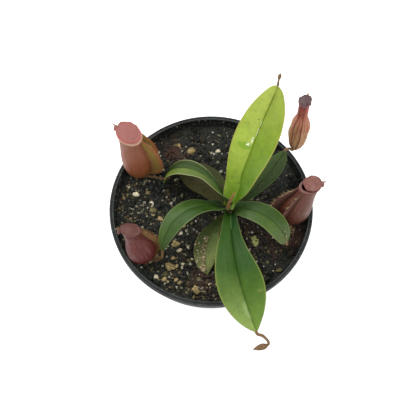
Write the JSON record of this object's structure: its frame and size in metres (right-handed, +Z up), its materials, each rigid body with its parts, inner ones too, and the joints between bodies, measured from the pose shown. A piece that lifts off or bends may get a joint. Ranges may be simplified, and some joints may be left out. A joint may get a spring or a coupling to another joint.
{
  "type": "potted pitcher plant",
  "caption": "Young pitcher plant with strap-shaped leaves, tendrils and lidded pitchers, growing in bark and perlite mix in a round tapered nursery pot.",
  "frame": {"origin": "centre of the pot's base, on the surface it stands on", "axes": "+Z up, the large front leaf hangs over the lip towards -Y, +X to the right"},
  "size_m": [0.1067, 0.1265, 0.1282],
  "materials": {
    "pot_plastic": "satin black moulded plastic",
    "potting_soil": "dark crumbly peat mix",
    "stem_green": "green stem with brown scales",
    "young_leaf": "waxy lime green leaf",
    "mature_leaf": "waxy green leaf with a pale edge",
    "old_leaf": "dull olive leaf",
    "tendril_brown": "brown hairy tendril",
    "orange_pitcher": "satin orange-brown pitcher",
    "red_pitcher": "satin dark red pitcher",
    "dried_pitcher": "dry veined pitcher",
    "lid_pink": "satin pink lid",
    "lid_dark": "dull purple-brown lid",
    "perlite": "rough porous white grain",
    "bark": "rough tan bark chip"
  },
  "bodies": {
    "root": {"pot": "pot_plastic", "soil": "potting_soil", "stem": "stem_green", "new_leaf_spear": "tendril_brown", "leaf_top": "young_leaf", "leaf_front": "mature_leaf", "leaf_left": "mature_leaf", "leaf_right": "mature_leaf", "leaf_back_left": "mature_leaf", "leaf_old_back_left": "old_leaf", "leaf_back_right": "old_leaf", "leaf_old_front": "old_leaf", "tendril_back_left": "tendril_brown", "tendril_front_left": "tendril_brown", "tendril_right": "tendril_brown", "tendril_back_right": "tendril_brown", "tendril_top": "tendril_brown", "tendril_front": "tendril_brown", "pitcher_back_left": "orange_pitcher", "pitcher_front_left": "red_pitcher", "pitcher_right": "red_pitcher", "pitcher_back_right": "dried_pitcher", "lid_back_left": "lid_pink", "lid_front_left": "lid_dark", "lid_right": "lid_dark", "lid_back_right": "lid_dark", "perlite_1": "perlite", "perlite_2": "perlite", "perlite_3": "perlite", "perlite_4": "perlite", "perlite_5": "perlite", "perlite_6": "perlite", "perlite_7": "perlite", "bark_1": "bark", "bark_2": "bark", "bark_3": "bark", "bark_4": "bark", "bark_5": "bark"}
  },
  "joints": []
}
